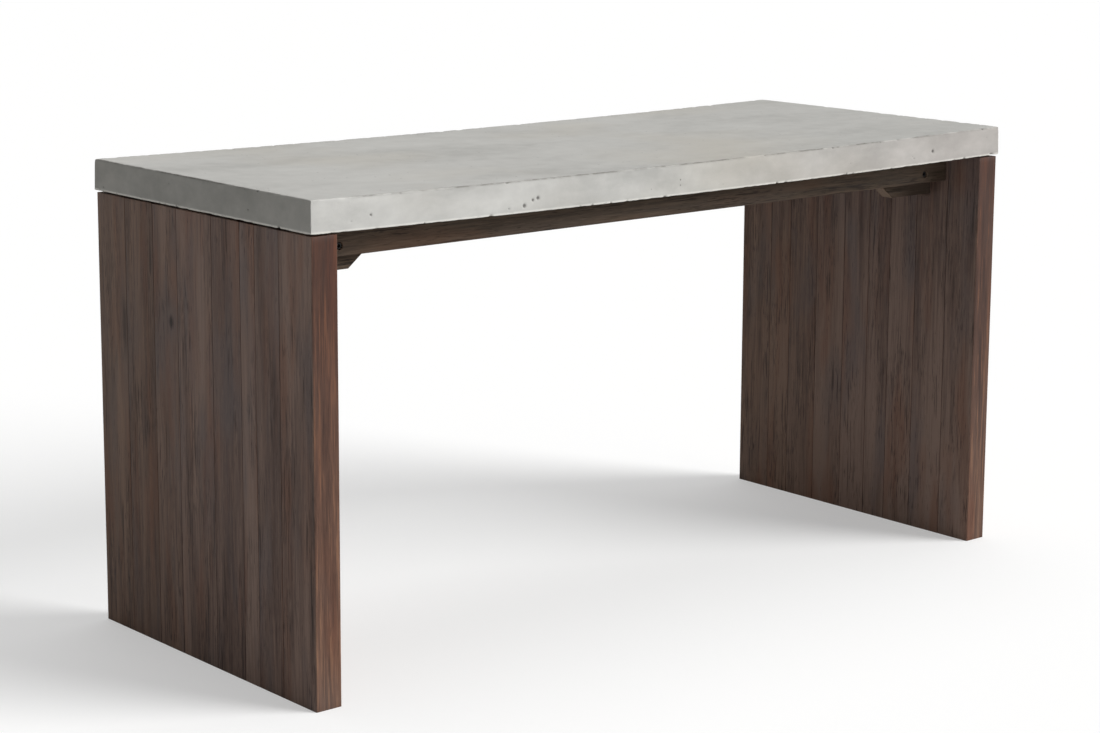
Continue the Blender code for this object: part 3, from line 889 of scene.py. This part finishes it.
# what goes into a leg: the tenons, whose mortises are open at the leg's top, and the rail screws
def legCutters(side, facts):
    toward, gap, past = sides[side], facts["cutGap"], facts["cutPast"]
    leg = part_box(f"{side}_leg_stave_1")
    start = toward * (min(abs(leg[0].x), abs(leg[1].x)) - past)
    found = []
    for face in ("front", "rear"):
        low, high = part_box(f"corner_block_{face}_{side}")
        ends = [start, toward * (max(abs(low.x), abs(high.x)) + gap)]
        outline = list(zip(ends + ends[::-1], [low.y - gap] * 2 + [high.y + gap] * 2))
        found.append(prism(outline, 2, low.z - gap, leg[1].z + past))
    for number in (1, 2, 3):
        low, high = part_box(f"rail_screw_{side}_{number}")
        end = toward * (max(abs(low.x), abs(high.x)) + gap)
        outline = roundOutline(((low.y + high.y) / 2, (low.z + high.z) / 2), facts["screwRadius"] + gap)
        found.append(prism(outline, 0, start, end))
    return found


legMaterial = woodMaterial("brushedLegWood", legWood, "Z")
staveDice = np.random.default_rng(21)
for side in sides:
    cutters = legCutters(side, staves)
    for number in range(1, staves[side] + 1):
        stave = buildStave(side, number, staves, legMaterial, staveDice)
        cutAway(stave, cutters)
print("leg staves made")


# the timber frame under the top

timbers = {
    "easing": 0.00045,          # bevel along every edge
    "toneSpread": 0.04,
    "shiftRange": 40,
    "grains": {
        "X": ["front_apron", "rear_apron",
              *(f"corner_block_{face}_{side}" for face in ("front", "rear") for side in sides)],
        "Y": ["left_end_rail", "right_end_rail", "centre_rail"],
    },
}


def camelName(node):
    first, *others = node.split("_")
    return first + "".join(word.capitalize() for word in others)


# a timber keeps the shape of its node: its triangles merge, flat faces become one, and a bevel eases it
def buildTimber(node, grain, facts, material, dice):
    mesh = frame["nodes"][node].data.copy()
    mend(mesh, flatten=True)
    everywhere = np.ones(len(mesh.vertices))
    addValues(mesh, "grainShift", everywhere * dice.uniform(0, facts["shiftRange"]))
    addValues(mesh, "tone", everywhere * dice.uniform(-1, 1) * facts["toneSpread"])
    normals = np.empty(len(mesh.polygons) * 3, np.float32)
    mesh.polygons.foreach_get("normal", normals)
    # painted light: the material makes these faces across the grain lighter, the blocks' chamfers among them
    addValues(mesh, "endGrain", np.abs(normals[grain::3]) > 0.5, "FACE")
    piece = addPiece(camelName(node), mesh, material, node)
    bevel = piece.modifiers.new("easing", "BEVEL")
    bevel.width, bevel.segments = facts["easing"], 2
    bevel.limit_method, bevel.angle_limit = "ANGLE", math.radians(30)


timberDice = np.random.default_rng(31)
for grain, names in timbers["grains"].items():
    material = woodMaterial("frameWood" + grain, frameWood, grain)
    for node in names:
        buildTimber(node, "XYZ".index(grain), timbers, material, timberDice)
print("timber frame made")


# fastenings

finishes = {
    # name: colour, worn colour, metal, roughness from and to
    "blackSteel": (tint(34, 34, 35), tint(66, 64, 62), 0.7, (0.34, 0.58)),
    "zincSteel": (tint(176, 176, 170), tint(206, 204, 196), 1.0, (0.26, 0.50)),
    "padRubber": (tint(30, 30, 30), tint(52, 51, 50), 0.0, (0.72, 0.92)),
}
finishGrain = {"patches": 420.0, "grain": 3200.0, "bump": 0.15, "bumpDepth": 0.0001}

# all sizes in metres; a fit keeps a round surface just inside its node
turning = {"fit": 0.995, "rowsPerTurn": 7, "around": 48, "smoothAngle": 35}
bolt = {"head": 0.0050, "headHeight": 0.0060, "socket": 0.0025, "socketDepth": 0.0035, "shank": 0.0030,
        "bevel": 0.0004, "knurl": 0.00018, "pitch": 0.0010, "thread": 0.0005, "threaded": 0.022}
insert = {"outer": 0.0050, "bore": 0.0038, "bevel": 0.0004, "pitch": 0.0010, "thread": 0.0003,
          "outerTurns": 7, "outerThread": 0.0007}
railScrew = {"head": 0.0045, "shank": 0.0021, "crest": 0.00225, "pitch": 0.0024, "thread": 0.0007,
             "threaded": 0.036, "point": 0.0045, "star": 0.0016, "starDepth": 0.0022, "starShare": 0.16,
             "bevel": 0.0002}
dowel = {"radius": 0.0040, "bevel": 0.0009, "flute": 0.0003, "flutes": 16}
pad = {"radius": 0.0120, "bevel": 0.0005, "groove": 0.0004, "grooves": (0.0095, 0.0070, 0.0045)}


# a plated or moulded surface: soft patches change its colour and roughness, and a fine grain its height
def finishMaterial(name, base, worn, metal, gloss):
    material, tree, shader = newMaterial(name)
    place = objectPlace(tree)
    patches = pattern(tree, place, (1, 1, 1), finishGrain["patches"], 3, 0.6)
    grain = pattern(tree, place, (1, 1, 1), finishGrain["grain"], 2, 0.6)
    colour = mixColour(tree, remap(tree, patches, 0.42, 0.70), base, worn)
    shader.inputs["Metallic"].default_value = metal
    dress(tree, shader, colour, remap(tree, patches, 0.35, 0.65, *gloss), grain, finishGrain)
    return material


# rows of a profile from one (radius, height) to another, spread evenly; kinds says what shapes them
def stretch(start, end, rows=2, **kinds):
    share = np.linspace(0, 1, rows)[:, None]
    path = np.array(start) * (1 - share) + np.array(end) * share
    shaping = [kinds.get(key, 0.0) for key in ("six", "lobes", "knurl", "thread")]
    return np.hstack([path, np.tile(shaping, (rows, 1))])


# a turned surface: at angle a and height z the reach is radius (1 + six (1 / cos(a mod 60 - 30) - 1))
# (1 + lobes cos 6a) - knurl (1 + cos ka) / 2 - thread |2 frac(z / pitch - a / turn) - 1|
def turned(profile, pitch=0.001, knurls=24):
    radius, height, six, lobes, knurl, thread = (profile[:, k, None] for k in range(6))
    angle = np.linspace(0, 2 * np.pi, turning["around"], endpoint=False)[None]
    flats = 1 / np.cos(angle % (np.pi / 3) - np.pi / 6)
    reach = radius * (1 + six * (flats - 1)) * (1 + lobes * np.cos(6 * angle))
    reach = reach - knurl * (1 + np.cos(knurls * angle)) / 2
    reach = reach - thread * np.abs(2 * ((height / pitch - angle / (2 * np.pi)) % 1) - 1)
    reach = np.clip(reach, 0, None) * turning["fit"]
    return np.stack([reach * np.cos(angle), reach * np.sin(angle), height + 0 * angle], axis=-1)


# stands a turned surface in its node's box, with its own +Z along the direction given
def placeTurned(node, makeRings, facts, toward, material):
    low, high = (np.array(corner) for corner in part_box(node))
    axis = Vector(toward)
    across = axis.orthogonal().normalized()
    basis = np.array([across, axis.cross(across), axis])
    length = abs((high - low) @ np.array(axis))
    start = (low + high) / 2 - np.array(axis) * length / 2
    mesh = tubeMesh(camelName(node), start + makeRings(facts, length) @ basis)
    addPiece(camelName(node), mesh, material, node, turning["smoothAngle"])


def threadRows(length, pitch):
    return int(length / pitch * turning["rowsPerTurn"]) + 1


# a socket-head bolt from the top of its head down
def boltRings(facts, length):
    head, tall, socket, shank, bevel = (facts[k] for k in ("head", "headHeight", "socket", "shank", "bevel"))
    cut = length - facts["threaded"]
    turns = threadRows(facts["threaded"], facts["pitch"])
    return turned(np.concatenate([
        stretch((0, facts["socketDepth"]), (socket, facts["socketDepth"]), six=1),
        stretch((socket, bevel), (socket + bevel, 0), six=1),
        stretch((head - bevel, 0), (head, bevel)),
        stretch((head, 2 * bevel), (head, tall - bevel), knurl=facts["knurl"]),
        stretch((head - bevel, tall), (shank, tall)),
        stretch((shank, tall + bevel), (shank, cut)),
        stretch((shank, cut + bevel), (shank, length - 2 * bevel), turns, thread=facts["thread"]),
        stretch((shank - 2 * bevel, length), (0, length)),
    ]), facts["pitch"])


# a threaded insert: up its bore and down its outside, which closes on the first row
def insertRings(facts, length):
    bore, outer, bevel, pitch = (facts[k] for k in ("bore", "outer", "bevel", "pitch"))
    low, high, outerPitch = bevel, length - bevel, length / facts["outerTurns"]
    inside = np.concatenate([
        stretch((bore, 0), (bore, low)),
        stretch((bore, low), (bore, high), threadRows(length, pitch), thread=facts["thread"]),
        stretch((bore, length), (outer - bevel, length)),
    ])
    outside = np.concatenate([
        stretch((outer, high), (outer, low), threadRows(length, outerPitch), thread=facts["outerThread"]),
        stretch((outer - bevel, 0), (bore, 0)),
    ])
    return np.concatenate([turned(inside, pitch), turned(outside, outerPitch)])


# a countersunk rail screw with a star recess
def screwRings(facts, length):
    head, shank, star, crest, bevel = (facts[k] for k in ("head", "shank", "star", "crest", "bevel"))
    cut, tip = length - facts["threaded"], length - facts["point"]
    turns = threadRows(facts["threaded"], facts["pitch"])
    return turned(np.concatenate([
        stretch((0, facts["starDepth"]), (star * 0.9, facts["starDepth"]), lobes=facts["starShare"]),
        stretch((star, bevel), (star * 1.08, 0), lobes=facts["starShare"]),
        stretch((head * 0.97, 0), (head, bevel)),
        stretch((shank, head - shank), (shank, cut), 3),
        stretch((crest, cut + 0.001), (crest, tip), turns, thread=facts["thread"]),
        stretch((crest * 0.75, tip + 0.001), (0, length), 6),
    ]), facts["pitch"])


def dowelRings(facts, length):
    radius, bevel = facts["radius"], facts["bevel"]
    return turned(np.concatenate([
        stretch((0, 0), (radius - bevel, 0)),
        stretch((radius, bevel), (radius, length - bevel), 9, knurl=facts["flute"]),
        stretch((radius - bevel, length), (0, length)),
    ]), knurls=facts["flutes"])


# a pad is a disc with ring grooves in its upper face
def padRings(facts, length):
    radius, bevel, groove = facts["radius"], facts["bevel"], facts["groove"]
    rows = [
        stretch((0, 0), (radius - bevel, 0), 4),
        stretch((radius, bevel), (radius, length - bevel)),
        stretch((radius - bevel, length), (radius - 2 * bevel, length)),
    ]
    for middle in facts["grooves"]:
        rows += [stretch((middle + groove, length), (middle + groove / 2, length - groove)),
                 stretch((middle - groove / 2, length - groove), (middle - groove, length))]
    return turned(np.concatenate(rows + [stretch((groove, length), (0, length))]))


steel, zinc, rubber = (finishMaterial(name, *row) for name, row in finishes.items())
dowelMaterial = woodMaterial("dowelWood", dowelWood, "Y")
intoWood = {"front": (0, 1, 0), "rear": (0, -1, 0)}
upward = (0, 0, 1)
for side, sign in sides.items():
    for face, inward in intoWood.items():
        placeTurned(f"apron_bolt_{face}_{side}", boltRings, bolt, inward, steel)
        placeTurned(f"block_insert_{face}_{side}", insertRings, insert, inward, zinc)
        placeTurned(f"top_bolt_{side}_{face}", boltRings, bolt, upward, steel)
        placeTurned(f"top_insert_{side}_{face}", insertRings, insert, upward, zinc)
        placeTurned(f"leg_pad_{side}_{face}", padRings, pad, upward, rubber)
    for number in (1, 2, 3):
        placeTurned(f"rail_screw_{side}_{number}", screwRings, railScrew, (sign, 0, 0), zinc)
for face in intoWood:
    for level in ("lower", "upper"):
        placeTurned(f"dowel_{face}_{level}", dowelRings, dowel, (0, 1, 0), dowelMaterial)
print("fastenings made")
